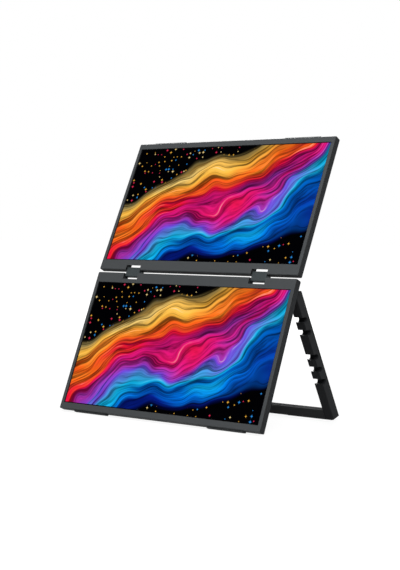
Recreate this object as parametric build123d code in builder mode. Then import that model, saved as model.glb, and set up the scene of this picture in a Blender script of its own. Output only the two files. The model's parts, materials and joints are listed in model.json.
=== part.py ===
from build123d import *
from math import cos, radians, sin, tan
import os

# Dual portable monitor: two 15.6 inch panels joined by two double-axis hinge blocks,
# on a slotted kickstand. Millimetres. Z is up, the screens face -Y, X runs to the
# viewer's right. The origin lies on the floor, under the middle of the open object.
# A panel's own frame has y from its hinge edge to its free edge and z out of the screen,
# and depth is counted from the front face into the panel.

# Panels
screen_width = 344.2
screen_height = 190.2
side_bezel = 5.9
far_bezel = 9.0
hinge_bezel = 15.8
panel_thickness = 11.0
bezel_thickness = 1.6
wall = 1.8
corner_radius = 1.5
front_chamfer = 0.8
parting_groove_width = 0.4
parting_groove_depth = 0.5
hinge_edge_radius = 2.0
far_edge_radius = 1.6
hinge_edge_web = 2.2
lower_lean = 23.0
upper_lean = 26.0

# How far a cut starts outside the piece
cut_over = 1.0

# Snap tabs of the bezel, along the side walls
tab_count = 3
tab_hinge_inset = 45.0
tab_far_inset = 40.0
tab_length = 12.0
tab_thickness = 0.9
tab_height = 2.4
tab_gap = 0.15

# Display stack
cell_thickness = 1.3
backlight_thickness = 2.2
cell_side_border = 2.2
cell_hinge_border = 2.0
cell_far_border = 5.6
rib_count = 3
rib_hinge_inset = 60.0
rib_far_inset = 15.0
rib_width = 2.0
rib_gap = 1.0
bead_count = 2
bead_hinge_inset = 80.0
bead_far_inset = 35.0
bead_width = 4.0
bead_depth = 0.6
bead_margin = 20.0

# Double-axis hinges
hinge_side_inset = 64.7
axis_depth = 4.8
closed_gap = 1.4
open_gap = 4.8
notch_width = 27.0
upper_notch_depth = 7.3
lower_notch_depth = 9.8
notch_rear_depth = 11.8
notch_side_wall = 0.7
notch_end_wall = 1.2
block_width = 25.0
block_upper_end = 2.0
block_lower_end = 3.4
block_front_setback = 2.2
block_thickness = 11.0
block_front_radius = 1.2
block_rear_radius = 4.0
pin_radius = 1.3
pin_fit = 0.05
block_fit = 0.02
pin_head_radius = 2.0
pin_head_height = 1.0
pin_end = 0.4
washer_thickness = 0.6
washer_count = 2
washer_gap = 0.05
nut_radius = 2.05
nut_thickness = 2.0
ear_radius = 2.1
ear_thickness = 2.4
ear_gap = 0.3
ear_shoulder = 0.9
pocket_room = 4.0
pocket_edge_gap = 0.1
bracket_gap = 0.4
bracket_plate = 1.2
bracket_length = 16.6
bracket_rise = 1.2
bracket_screw_spread = 11.0

# Rubber pads on the free edges
pad_side_inset = 28.0
pad_length = 60.0
pad_proud = 2.2
pad_heel = 1.2
pad_front_depth = 2.5
pad_rounding = 0.8

# Driver board, sockets and buttons, all at the viewer's left edge
board_width = 40.0
board_length = 115.0
board_thickness = 1.2
board_start = 50.0
board_edge_gap = 1.6
standoff_height = 1.3
socket_centre_depth = 7.1
usb_size = (8.9, 3.16)
usb_length = 7.4
usb_places = (66.0, 84.0)
hdmi_size = (11.2, 3.2)
hdmi_length = 7.6
hdmi_place = 104.0
socket_recess = 0.4
socket_clearance = 0.2
socket_shell = 0.3
tongue_height = 0.7
tongue_side_gap = 1.6
tongue_setback = 0.8
end_flat = 0.1
button_size = (12.0, 3.2)
button_places = {"power": 128.0, "menu": 146.0}
button_proud = 0.6
button_travel = 0.4
button_edge = 0.3
button_clearance = 0.15
flange_margin = 0.3
flange_length_margin = 1.2
flange_thickness = 0.8
flange_seat = 0.1
plunger_size = (2.0, 1.2)
plunger_gap = 0.05
switch_size = (4.0, 5.0, 1.4)
ribbon_thickness = 0.3
ribbon_width = 12.0
ribbon_length = 40.0
ribbon_place = 100.0
connector_size = (5.0, 14.0)

# Chips and coils on the board: in from its outer edge, along it, width, length, height
board_chips = (
    (22.0, 30.0, 24.0, 20.0, 1.3),
    (24.0, 72.0, 14.0, 14.0, 1.0),
    (30.0, 96.0, 6.0, 6.0, 1.2),
    (18.0, 96.0, 6.0, 6.0, 1.2),
)

# Fasteners
cover_screw_side_inset = 10.0
cover_screw_inset = 7.6
cover_boss_radius = 2.6
cover_boss_height = 2.0
boss_gap = 0.1
cover_screw_radius = 0.95
cover_head_radius = 1.9
cover_head_height = 1.2
cover_head_recess = 0.1
small_boss_radius = 2.2
small_screw_radius = 0.8
small_head_radius = 1.5
small_head_height = 0.9
board_screw_inset = 3.5
pilot_skin = 0.6
screw_end_gap = 0.2
screw_clearance = 0.1
cross_width = 0.5
cross_length = 1.8
cross_depth = 0.5

# Kickstand
pivot_inset = 23.1
pivot_depth = 21.0
arm_lean = 30.0
arm_depth = 15.6
arm_width = 14.0
head_front_rise = 7.3
head_rear_rise = 12.9
head_front_radius = 5.6
head_rear_radius = 3.0
arm_side_inset = 0.5
arm_edge_chamfer = 0.6
foot_cut = 13.7
slot_width = 7.0
slot_depth = 10.2
slot_pitch = 20.5
first_slot = 27.0
last_slot_rise = 66.0
cross_bar_height = 15.5
cross_bar_depth = 6.0
tongue_length = 8.0
tongue_margin = 1.2
tongue_end_margin = 2.4
tongue_clearance = 0.1
stand_pin_radius = 2.5
stand_pin_reach = 9.3
stand_pin_fit = 0.05
stand_bracket_fit = 0.02
stand_pin_head_radius = 4.0
stand_pin_head_height = 1.5
stand_bracket_gap = 0.3
stand_bracket_ear = 8.0
stand_bracket_radius = 6.0
stand_bracket_foot = 10.0
stand_bracket_base = 2.5
stand_bracket_width = 16.0
stand_bracket_length = 28.0
stand_bracket_corner = 3.0
stand_screw_inset = 4.0
stand_screw_radius = 1.4
stand_head_radius = 2.6
stand_head_height = 1.6
stand_drive_depth = 0.8
stand_boss_radius = 3.2
stand_boss_height = 3.0
stand_boss_skin = 0.8
stand_pad_side_inset = 4.0
stand_pad_length = 74.0
stand_pad_margin = 0.8
stand_pad_width = 4.6
stand_pad_toe = 0.9

# Derived sizes
panel_width = screen_width + 2 * side_bezel
panel_height = hinge_bezel + screen_height + far_bezel
half_width = panel_width / 2
floor_depth = panel_thickness - wall
axis_distance = 2 * axis_depth + closed_gap
axis_inset = (axis_distance - open_gap) / 2
cell_depth = bezel_thickness + cell_thickness
stack_depth = cell_depth + backlight_thickness
stack_size = (
    screen_width + 2 * cell_side_border,
    screen_height + cell_hinge_border + cell_far_border,
)
stack_centre = (0, hinge_bezel - cell_hinge_border + stack_size[1] / 2)
board_bottom = floor_depth - standoff_height
board_top = board_bottom - board_thickness
board_edge = half_width - wall - board_edge_gap
hinge_offset = half_width - hinge_side_inset
pad_offset = half_width - pad_side_inset - pad_length / 2
cover_screw_offset = half_width - cover_screw_side_inset
housing_half = notch_width / 2 + notch_side_wall
housing_depth = notch_rear_depth + notch_end_wall
ear_inner = housing_half + ear_gap
ear_outer = ear_inner + ear_thickness
bracket_start = housing_depth + bracket_gap
bracket_bottom = floor_depth - bracket_rise
bracket_top = bracket_bottom - bracket_plate
cover_boss_top = floor_depth - cover_boss_height
pad_rear_depth = panel_thickness - far_edge_radius
stand_boss_top = floor_depth - stand_boss_height


def lean_up(lean):
    """Direction up along a face that leans back by this angle."""
    return Vector(0, sin(radians(lean)), cos(radians(lean)))


def lean_in(lean):
    """Direction into the depth of a panel that leans back by this angle."""
    return Vector(0, cos(radians(lean)), -sin(radians(lean)))


# The lower panel stands on the bevel of its pads, between their break and their heel
lean_sin = sin(radians(lower_lean))
lean_cos = cos(radians(lower_lean))
rest_height = pad_heel * lean_cos + pad_rear_depth * lean_sin
pad_break = (rest_height - pad_proud * lean_cos) / lean_sin

# The arms of the kickstand are so long that the toes of their foot pads reach the floor
pivot_rise = panel_height - pivot_inset
pivot_height = rest_height + pivot_rise * lean_cos - pivot_depth * lean_sin
pivot_back = pivot_rise * lean_sin + pivot_depth * lean_cos
half_depth = arm_depth / 2
toe_offset = half_depth - stand_pad_margin
toe_reach = (pivot_height - toe_offset * sin(radians(arm_lean))) / cos(radians(arm_lean))
arm_length = toe_reach - stand_pad_margin * tan(radians(foot_cut)) - stand_pad_toe
heel_reach = arm_length + arm_depth * tan(radians(foot_cut))
arm_inner = half_width - arm_side_inset - arm_width
stand_pad_start = half_width - stand_pad_side_inset - stand_pad_length

# The hinge axes, counted from the lower panel's front bottom edge
lower_axis_place = (panel_height - axis_inset) * lean_up(lower_lean) + axis_depth * lean_in(
    lower_lean
)
link_lean = (lower_lean + upper_lean) / 2
upper_axis_place = lower_axis_place + axis_distance * lean_up(link_lean)
upper_edge_place = (
    upper_axis_place - axis_inset * lean_up(upper_lean) - axis_depth * lean_in(upper_lean)
)

# The origin is put under the middle of the footprint, from front edge to rear end
front_end = front_chamfer * lean_sin
foot_end = (
    pivot_back + heel_reach * sin(radians(arm_lean)) + half_depth * cos(radians(arm_lean))
)
crown = (
    upper_edge_place
    + (panel_height - far_edge_radius) * lean_up(upper_lean)
    + (panel_thickness - far_edge_radius) * lean_in(upper_lean)
)
middle = (front_end + max(foot_end, crown.Y + far_edge_radius)) / 2
base = Vector(0, -middle, rest_height)

lower_axis = base + lower_axis_place
upper_axis = base + upper_axis_place
pivot = Vector(0, pivot_back - middle, pivot_height)
arm_down = Vector(0, sin(radians(arm_lean)), -cos(radians(arm_lean)))
arm_rear = Vector(0, cos(radians(arm_lean)), sin(radians(arm_lean)))

# The lower panel is the upper one turned half round, so its x runs to the viewer's left
upper_frame = Plane(base + upper_edge_place, x_dir=(1, 0, 0), z_dir=-lean_in(upper_lean))
lower_frame = Plane(
    base + panel_height * lean_up(lower_lean), x_dir=(-1, 0, 0), z_dir=-lean_in(lower_lean)
)
link_frame = Plane(lower_axis, x_dir=(1, 0, 0), z_dir=-lean_in(link_lean))


def across(frame, x, sense=1):
    """Plane across a frame at x: its x is the frame's y, its y is sense times z."""
    return Plane(
        frame.from_local_coords(Vector(x, 0, 0)),
        x_dir=frame.y_dir,
        z_dir=frame.x_dir * sense,
    )


def prism(frame, centre, size, depths, mode=Mode.ADD):
    """Rectangular prism between two depths behind the front face."""
    with BuildSketch(frame.offset(-depths[0])) as outline:
        with Locations(centre):
            Rectangle(*size)
    extrude(outline.sketch, amount=depths[0] - depths[1], mode=mode)


def round_post(frame, places, radius, depths, mode=Mode.ADD):
    """Round posts, or holes, between two depths behind the front face."""
    with BuildSketch(frame.offset(-depths[0])) as outline:
        with Locations(*places):
            Circle(radius)
    extrude(outline.sketch, amount=depths[0] - depths[1], mode=mode)


def cross_recess(frame, places, depth, way):
    """Crossed driver slots in screw heads whose top is at this depth and faces this way."""
    with BuildSketch(frame.offset(-depth)) as cross:
        with Locations(*places):
            Rectangle(cross_length, cross_width)
            Rectangle(cross_width, cross_length)
    extrude(cross.sketch, amount=-way * cross_depth, mode=Mode.SUBTRACT)


def grown(size, margin):
    return (size[0] + 2 * margin, size[1] + 2 * margin)


def spread(first, last, count):
    """Evenly spaced places between two ends."""
    return [first + (last - first) * number / (count - 1) for number in range(count)]


def capsule(frame, side, place, size, x):
    """Round-ended outline of a socket or button, on a plane across the panel at x."""
    with BuildSketch(across(frame, side * x, side)) as outline:
        with Locations((place, -side * socket_centre_depth)):
            Rectangle(*size)
        fillet(outline.vertices(), (size[1] - end_flat) / 2)
    return outline.sketch


def board_screw_places(side):
    inner = board_edge - board_width + board_screw_inset
    outer = board_edge - board_screw_inset
    start = board_start + board_screw_inset
    end = board_start + board_length - board_screw_inset
    return [(side * inner, start), (side * inner, end), (side * outer, start)]


def cover_screw_places():
    offsets = (cover_screw_offset, hinge_offset / 2)
    return [(way * offset, cover_screw_inset) for way in (-1, 1) for offset in offsets]


def bracket_screw_places(x):
    y = bracket_start + bracket_length / 2
    return [(x - bracket_screw_spread, y), (x + bracket_screw_spread, y)]


def stand_screw_places():
    x = arm_inner - stand_bracket_gap - stand_bracket_width + stand_screw_inset
    step = stand_bracket_length / 2 - stand_screw_inset
    return [(side * x, pivot_inset + way * step) for side in (-1, 1) for way in (-1, 1)]


def cut_notches(frame, notch_depth):
    """Cut the notches for the hinge blocks, which widen towards the back."""
    slope = (notch_rear_depth - notch_depth) / panel_thickness
    front = cut_over
    rear = -panel_thickness - cut_over
    for x in (-hinge_offset, hinge_offset):
        with BuildSketch(across(frame, x - notch_width / 2)) as profile:
            Polygon(
                (-cut_over, front),
                (notch_depth - slope * front, front),
                (notch_depth - slope * rear, rear),
                (-cut_over, rear),
                align=None,
            )
        extrude(profile.sketch, amount=notch_width, mode=Mode.SUBTRACT)


def make_bezel(frame, notch_depth):
    """Front frame with its window, screw posts at the hinge edge and snap tabs."""
    depth_axis = Axis(frame.origin, frame.z_dir)
    with BuildPart() as bezel:
        prism(frame, (0, panel_height / 2), (panel_width, panel_height), (0, bezel_thickness))
        fillet(bezel.edges().filter_by(depth_axis), corner_radius)
        chamfer(bezel.faces().sort_by(depth_axis)[-1].edges(), front_chamfer)
        window = (0, hinge_bezel + screen_height / 2)
        prism(frame, window, (screen_width, screen_height), (0, bezel_thickness), Mode.SUBTRACT)
        cut_notches(frame, notch_depth)

        posts = cover_screw_places()
        post_end = cover_boss_top - boss_gap
        round_post(frame, posts, cover_boss_radius, (bezel_thickness, post_end))
        pilot = cover_screw_radius + screw_clearance / 2
        round_post(frame, posts, pilot, (bezel_thickness + wall, post_end), Mode.SUBTRACT)

        tab_x = half_width - wall - tab_gap - tab_thickness / 2
        for x in (-tab_x, tab_x):
            for y in spread(tab_hinge_inset, panel_height - tab_far_inset, tab_count):
                depths = (bezel_thickness, bezel_thickness + tab_height)
                prism(frame, (x, y), (tab_thickness, tab_length), depths)
    return bezel


def make_cover(frame, side, notch_depth, stand_places=()):
    """Rear cover: a tray with notches, bosses, ribs and the openings of the left edge."""
    side_axis = Axis(frame.origin, frame.x_dir)
    depth_axis = Axis(frame.origin, frame.z_dir)
    with BuildPart() as cover:
        # Outer shape, round along the hinge edge and at the corners
        with BuildSketch(across(frame, -half_width)) as profile:
            Polygon(
                (0, -bezel_thickness),
                (panel_height, -bezel_thickness),
                (panel_height, -panel_thickness),
                (0, -panel_thickness),
                align=None,
            )
            fillet(profile.vertices().group_by(Axis.Y)[0].sort_by(Axis.X)[0], hinge_edge_radius)
            fillet(profile.vertices().group_by(Axis.Y)[0].sort_by(Axis.X)[-1], far_edge_radius)
        extrude(profile.sketch, amount=panel_width)
        ends = cover.faces().sort_by(side_axis)
        rims = ShapeList()
        for end in (ends[0], ends[-1]):
            rims += end.edges().sort_by(depth_axis)[:-1]
        fillet(rims, corner_radius)

        # Parting groove all round, against the bezel
        outside = (panel_width, panel_height)
        with BuildSketch(frame.offset(-bezel_thickness)) as groove:
            with Locations((0, panel_height / 2)):
                Rectangle(*grown(outside, cut_over))
                RectangleRounded(
                    *grown(outside, -parting_groove_depth), corner_radius, mode=Mode.SUBTRACT
                )
        extrude(groove.sketch, amount=-parting_groove_width, mode=Mode.SUBTRACT)

        # Cavity, with walls left standing round the notches and a web along the hinge edge
        with BuildSketch(frame.offset(-bezel_thickness)) as cavity:
            with Locations((0, panel_height / 2)):
                Rectangle(panel_width - 2 * wall, panel_height - 2 * wall)
            with Locations((-hinge_offset, 0), (hinge_offset, 0)):
                Rectangle(2 * housing_half, 2 * housing_depth, mode=Mode.SUBTRACT)
        extrude(cavity.sketch, amount=bezel_thickness - floor_depth, mode=Mode.SUBTRACT)
        with BuildSketch(across(frame, wall - half_width)) as web:
            Polygon(
                (wall, -floor_depth),
                (wall + hinge_edge_web, -floor_depth),
                (wall, hinge_edge_web - floor_depth),
                align=None,
            )
        extrude(web.sketch, amount=panel_width - 2 * wall)
        cut_notches(frame, notch_depth)

        # Room beside each notch for the pins and the ears of the hinge brackets
        reach = ear_radius + ear_gap
        pocket_start = axis_inset - ear_radius - pocket_edge_gap
        pocket_length = ear_thickness + washer_count * washer_thickness + nut_thickness + pocket_room
        size = (pocket_length, wall + hinge_edge_web - pocket_start)
        for x in (-hinge_offset, hinge_offset):
            for way in (-1, 1):
                centre = (x + way * (housing_half + size[0] / 2), pocket_start + size[1] / 2)
                prism(frame, centre, size, (axis_depth - reach, axis_depth + reach), Mode.SUBTRACT)
            with BuildSketch(across(frame, x - housing_half)) as bore:
                with Locations((axis_inset, -axis_depth)):
                    Circle(pin_radius + ear_gap)
            extrude(bore.sketch, amount=2 * housing_half, mode=Mode.SUBTRACT)

        # Screw bosses along the hinge edge
        places = cover_screw_places()
        round_post(frame, places, cover_boss_radius, (cover_boss_top, floor_depth))
        hole = cover_screw_radius + screw_clearance
        round_post(frame, places, hole, (cover_boss_top, panel_thickness), Mode.SUBTRACT)
        recess = panel_thickness - cover_head_height - cover_head_recess
        hole = cover_head_radius + screw_clearance
        round_post(frame, places, hole, (recess, panel_thickness), Mode.SUBTRACT)

        # Standoffs under the driver board and the hinge brackets
        brackets = bracket_screw_places(-hinge_offset) + bracket_screw_places(hinge_offset)
        for places, top in (
            (board_screw_places(side), board_bottom),
            (brackets, bracket_bottom),
        ):
            round_post(frame, places, small_boss_radius, (top, floor_depth))
            pilot = small_screw_radius + screw_clearance / 2
            depths = (top, panel_thickness - pilot_skin)
            round_post(frame, places, pilot, depths, Mode.SUBTRACT)

        # Ribs that carry the display stack, from the far side wall up to the board
        rib_start = half_width - wall - rib_gap
        rib_end = board_edge - board_width - rib_gap
        for y in spread(rib_hinge_inset, panel_height - rib_far_inset, rib_count):
            centre = (side * (rib_end - rib_start) / 2, y)
            prism(frame, centre, (rib_start + rib_end, rib_width), (stack_depth, floor_depth))

        # Openings of the left edge
        openings = [(place, grown(usb_size, socket_clearance)) for place in usb_places]
        openings.append((hdmi_place, grown(hdmi_size, socket_clearance)))
        for place in button_places.values():
            openings.append((place, grown(button_size, button_clearance)))
        for place, size in openings:
            outline = capsule(frame, side, place, size, half_width)
            extrude(outline, amount=-wall - boss_gap, mode=Mode.SUBTRACT)

        # Blind bosses for the screws of the stand brackets
        if stand_places:
            round_post(frame, stand_places, stand_boss_radius, (stand_boss_top, floor_depth))
            hole = stand_screw_radius + screw_clearance
            depths = (stand_boss_top + stand_boss_skin, panel_thickness)
            round_post(frame, stand_places, hole, depths, Mode.SUBTRACT)
    return cover


def make_cell(frame):
    """Display cell: the two sheets of glass behind the window."""
    with BuildPart() as cell:
        prism(frame, stack_centre, stack_size, (bezel_thickness, cell_depth))
    return cell


def make_backlight(frame):
    """Backlight unit in its metal tray, with pressed stiffening beads."""
    with BuildPart() as backlight:
        prism(frame, stack_centre, stack_size, (cell_depth, stack_depth))
        size = (stack_size[0] - 2 * bead_margin, bead_width)
        for y in spread(bead_hinge_inset, panel_height - bead_far_inset, bead_count):
            depths = (stack_depth - bead_depth, stack_depth)
            prism(frame, (0, y), size, depths, Mode.SUBTRACT)
    return backlight


def make_board(frame, side):
    """Driver board with its chips, and cut-outs that the sockets sit in."""
    with BuildPart() as board:
        centre = (side * (board_edge - board_width / 2), board_start + board_length / 2)
        prism(frame, centre, (board_width, board_length), (board_top, board_bottom))
        sockets = [(place, usb_size[0], usb_length) for place in usb_places]
        sockets.append((hdmi_place, hdmi_size[0], hdmi_length))
        for place, width, length in sockets:
            reach = board_edge - half_width + socket_recess + length + socket_clearance
            size = (2 * reach, width + 2 * socket_clearance)
            depths = (board_top, board_bottom)
            prism(frame, (side * board_edge, place), size, depths, Mode.SUBTRACT)
        hole = small_screw_radius + screw_clearance
        round_post(frame, board_screw_places(side), hole, (board_top, board_bottom), Mode.SUBTRACT)
        for inset, along, width, length, height in board_chips:
            centre = (side * (board_edge - inset), board_start + along)
            prism(frame, centre, (width, length), (board_top - height, board_top))
        centre = (side * (board_edge - board_width + connector_size[0] / 2), ribbon_place)
        prism(frame, centre, connector_size, (stack_depth + ribbon_thickness, board_top))
    return board


def make_ribbon(frame, side):
    """Flat ribbon from the board's connector to the back of the display."""
    with BuildPart() as ribbon:
        end = board_edge - board_width + connector_size[0]
        centre = (side * (end - ribbon_length / 2), ribbon_place)
        size = (ribbon_length, ribbon_width)
        prism(frame, centre, size, (stack_depth, stack_depth + ribbon_thickness))
    return ribbon


def make_sockets(frame, side, places, size, length):
    """Open metal socket shells, each with its contact tongue."""
    mouth = half_width - socket_recess
    back = mouth - length
    inner = grown(size, -socket_shell)
    with BuildPart() as sockets:
        for place in places:
            extrude(capsule(frame, side, place, size, mouth), amount=-length)
            hollow = capsule(frame, side, place, inner, mouth)
            extrude(hollow, amount=socket_shell - length, mode=Mode.SUBTRACT)
            with BuildSketch(across(frame, side * (back + socket_shell), side)) as tongue:
                with Locations((place, -side * socket_centre_depth)):
                    Rectangle(inner[0] - tongue_side_gap, tongue_height)
            extrude(tongue.sketch, amount=length - socket_shell - tongue_setback)
    return sockets


def make_switches(frame, side):
    """Side-push switches on the board, one behind each button."""
    width, length, height = switch_size
    with BuildPart() as switches:
        for place in button_places.values():
            centre = (side * (board_edge - width / 2), place)
            prism(frame, centre, (width, length), (board_top - height, board_top))
    return switches


def make_button(frame, side, place):
    """Round-ended button with a flange that holds it in and a plunger to its switch."""
    flange_outer = half_width - wall - flange_seat
    flange_inner = flange_outer - flange_thickness
    crown_x = half_width + button_proud
    with BuildPart() as button:
        outline = capsule(frame, side, place, button_size, crown_x)
        extrude(outline, amount=flange_outer - crown_x)
        outer_face = button.faces().sort_by(Axis(frame.origin, frame.x_dir * side))[-1]
        chamfer(outer_face.edges(), button_edge)
        with BuildSketch(across(frame, side * flange_outer, side)) as flange:
            with Locations((place, -side * socket_centre_depth)):
                Rectangle(
                    button_size[0] + 2 * flange_length_margin, button_size[1] + 2 * flange_margin
                )
        extrude(flange.sketch, amount=-flange_thickness)
        plunger_depth = board_top - switch_size[2] / 2
        with BuildSketch(across(frame, side * flange_inner, side)) as plunger:
            with Locations((place, -side * plunger_depth)):
                Rectangle(*plunger_size)
        extrude(plunger.sketch, amount=board_edge + button_travel + plunger_gap - flange_inner)
    return button


def make_pads(frame):
    """Rubber pads on the free edge, bevelled so that they lie flat on the floor."""
    with BuildPart() as pads:
        for x in (-pad_offset, pad_offset):
            with BuildSketch(across(frame, x - pad_length / 2)) as profile:
                Polygon(
                    (panel_height, -pad_front_depth),
                    (panel_height + pad_proud, -pad_front_depth),
                    (panel_height + pad_proud, -pad_break),
                    (panel_height + pad_heel, -pad_rear_depth),
                    (panel_height, -pad_rear_depth),
                    align=None,
                )
                front = profile.vertices().group_by(Axis.Y)[-1]
                fillet(front.sort_by(Axis.X)[-1], pad_rounding)
            extrude(profile.sketch, amount=pad_length)
    return pads


def make_cover_screws(frame):
    """Screws that hold the rear cover to the posts of the bezel."""
    places = cover_screw_places()
    head_top = panel_thickness - cover_head_recess
    neck = head_top - cover_head_height
    with BuildPart() as screws:
        round_post(frame, places, cover_head_radius, (neck, head_top))
        end = bezel_thickness + wall + screw_end_gap
        round_post(frame, places, cover_screw_radius, (end, neck))
        cross_recess(frame, places, head_top, -1)
    return screws


def make_small_screws(frame, places, seat):
    """Screws with their heads seated at this depth, driven towards the rear cover."""
    with BuildPart() as screws:
        round_post(frame, places, small_head_radius, (seat - small_head_height, seat))
        end = panel_thickness - pilot_skin - screw_end_gap
        round_post(frame, places, small_screw_radius, (seat, end))
        cross_recess(frame, places, seat - small_head_height, 1)
    return screws


def make_hinge_bracket(frame, x):
    """Steel channel screwed down behind a notch, with an ear on each side of it."""
    end = bracket_start + bracket_length
    step = -stack_depth - ear_gap
    with BuildPart() as bracket:
        centre = (x, bracket_start + bracket_length / 2)
        prism(frame, centre, (2 * ear_outer, bracket_length), (bracket_top, bracket_bottom))
        for start in (x - ear_outer, x + ear_inner):
            with BuildSketch(across(frame, start)) as ear:
                with Locations((axis_inset, -axis_depth)):
                    Circle(ear_radius)
                Polygon(
                    (axis_inset, ear_radius - axis_depth),
                    (bracket_start - ear_shoulder, step),
                    (end, step),
                    (end, -bracket_bottom),
                    (bracket_start, -bracket_bottom),
                    (axis_inset, -ear_radius - axis_depth),
                    align=None,
                )
                with Locations((axis_inset, -axis_depth)):
                    Circle(pin_radius + pin_fit, mode=Mode.SUBTRACT)
            extrude(ear.sketch, amount=ear_thickness)
        hole = small_screw_radius + screw_clearance
        places = bracket_screw_places(x)
        round_post(frame, places, hole, (bracket_top, bracket_bottom), Mode.SUBTRACT)
    return bracket


def make_hinge_block(x):
    """Hinge block with a bore for each of its two pins."""
    front = axis_depth - block_front_setback
    rear = front - block_thickness
    low = -block_lower_end
    high = axis_distance + block_upper_end
    with BuildPart() as block:
        with BuildSketch(across(link_frame, x - block_width / 2)) as profile:
            Polygon((low, front), (high, front), (high, rear), (low, rear), align=None)
            fillet(profile.vertices().group_by(Axis.Y)[-1], block_front_radius)
            fillet(profile.vertices().group_by(Axis.Y)[0], block_rear_radius)
            with Locations((0, 0), (axis_distance, 0)):
                Circle(pin_radius + block_fit, mode=Mode.SUBTRACT)
        extrude(profile.sketch, amount=block_width)
    return block


def pin_plane(x, height, way, offset=0.0):
    """Plane on a hinge axis, just outside the bracket's ear, facing away from the block."""
    centre = link_frame.from_local_coords(Vector(0, height, 0))
    axis_frame = Plane(centre, x_dir=link_frame.x_dir, z_dir=link_frame.z_dir)
    return across(axis_frame, x + way * (ear_outer + washer_gap + offset), way)


def make_pin(x, height):
    """Hinge pin with its head towards the middle of the panel."""
    outer = 1 if x > 0 else -1
    stack = washer_count * (washer_thickness + washer_gap) + nut_thickness
    length = 2 * (ear_outer + washer_gap) + stack + pin_end
    with BuildPart() as pin:
        with BuildSketch(pin_plane(x, height, -outer)) as shank:
            Circle(pin_radius)
        extrude(shank.sketch, amount=-length)
        with BuildSketch(pin_plane(x, height, -outer)) as head:
            Circle(pin_head_radius)
        extrude(head.sketch, amount=pin_head_height)
    return pin


def make_washers():
    """Friction washers on the outer end of each pin."""
    with BuildPart() as washers:
        for x in (-hinge_offset, hinge_offset):
            outer = 1 if x > 0 else -1
            for height in (0, axis_distance):
                for number in range(washer_count):
                    start = number * (washer_thickness + washer_gap)
                    with BuildSketch(pin_plane(x, height, outer, start)) as ring:
                        Circle(pin_head_radius)
                        Circle(pin_radius + block_fit, mode=Mode.SUBTRACT)
                    extrude(ring.sketch, amount=washer_thickness)
    return washers


def make_nuts():
    """Hexagon nuts that press the friction washers together."""
    start = washer_count * (washer_thickness + washer_gap)
    with BuildPart() as nuts:
        for x in (-hinge_offset, hinge_offset):
            outer = 1 if x > 0 else -1
            for height in (0, axis_distance):
                with BuildSketch(pin_plane(x, height, outer, start)) as ring:
                    RegularPolygon(nut_radius, 6)
                    Circle(pin_radius + block_fit, mode=Mode.SUBTRACT)
                extrude(ring.sketch, amount=nut_thickness)
    return nuts


# Kickstand: a plane across it has x down along the arms and y to the rear
cross_bar_top = arm_length - cross_bar_height
cross_bar_rear = cross_bar_depth - half_depth
tongue_size = (cross_bar_height - 2 * tongue_end_margin, cross_bar_depth - 2 * tongue_margin)
tongue_centre = (cross_bar_top + cross_bar_height / 2, cross_bar_depth / 2 - half_depth)
tongue_front = tongue_centre[1] - tongue_size[1] / 2


def stand_plane(x):
    return Plane((x, pivot.Y, pivot.Z), x_dir=arm_down, z_dir=(1, 0, 0))


def foot_end_at(offset):
    """Length at which the foot of the stand is cut off, this far behind its middle."""
    return arm_length + (offset + half_depth) * tan(radians(foot_cut))


def slot_mouths():
    """Places of the five slots along an arm: a group of two and a group of three."""
    upper_group = [first_slot + slot_pitch * number for number in range(2)]
    last_slot = arm_length - last_slot_rise
    lower_group = [last_slot - slot_pitch * number for number in (2, 1, 0)]
    return upper_group + lower_group


def arm_screw_plane(way, offset):
    """Plane square to an arm's rear face, over the tongue of the cross bar."""
    centre = pivot + arm_down * tongue_centre[0] + arm_rear * offset
    x = way * (arm_inner + tongue_length / 2)
    return Plane(centre + Vector(x, 0, 0), x_dir=(1, 0, 0), z_dir=arm_rear)


def make_arm(way):
    """Slotted arm with a blind pivot bore and a socket for the cross bar's tongue."""
    reach = slot_depth - slot_width / 2
    along = Vector(sin(radians(arm_lean)), cos(radians(arm_lean)))
    with BuildPart() as arm:
        with BuildSketch(stand_plane(way * arm_inner)) as profile:
            Polygon(
                (-head_front_rise, -half_depth),
                (arm_length, -half_depth),
                (heel_reach, half_depth),
                (-head_rear_rise, half_depth),
                align=None,
            )
            # The head slopes down to the front, where it swings past the panel
            for face, radius in ((0, head_front_radius), (-1, head_rear_radius)):
                corners = profile.vertices().group_by(Axis.Y)[face].sort_by(Axis.X)
                fillet(corners[0], radius)
            # The slots lie level when the stand is open
            for mouth in slot_mouths():
                centre = Vector(mouth, -half_depth) + along * ((reach - slot_width) / 2)
                with Locations((centre.X, centre.Y)):
                    SlotCenterToCenter(
                        reach + slot_width, slot_width, rotation=90 - arm_lean, mode=Mode.SUBTRACT
                    )
        extrude(profile.sketch, amount=way * arm_width)
        ends = arm.faces().sort_by(Axis.X)
        chamfer(ends[0].edges() + ends[-1].edges(), arm_edge_chamfer)

        with BuildSketch(stand_plane(way * arm_inner)) as bore:
            Circle(stand_pin_radius + stand_pin_fit)
        bore_depth = stand_pin_reach + screw_end_gap
        extrude(bore.sketch, amount=way * bore_depth, mode=Mode.SUBTRACT)
        with BuildSketch(stand_plane(way * arm_inner)) as socket:
            with Locations(tongue_centre):
                Rectangle(*grown(tongue_size, tongue_clearance))
        socket_depth = tongue_length + tongue_clearance
        extrude(socket.sketch, amount=way * socket_depth, mode=Mode.SUBTRACT)

        with BuildSketch(arm_screw_plane(way, half_depth)) as recess:
            Circle(stand_head_radius + screw_clearance)
        extrude(recess.sketch, amount=-stand_head_height - screw_clearance, mode=Mode.SUBTRACT)
        with BuildSketch(arm_screw_plane(way, half_depth)) as hole:
            Circle(stand_screw_radius + screw_clearance)
        extrude(hole.sketch, amount=cross_bar_rear - tongue_margin - half_depth, mode=Mode.SUBTRACT)
    return arm


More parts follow.
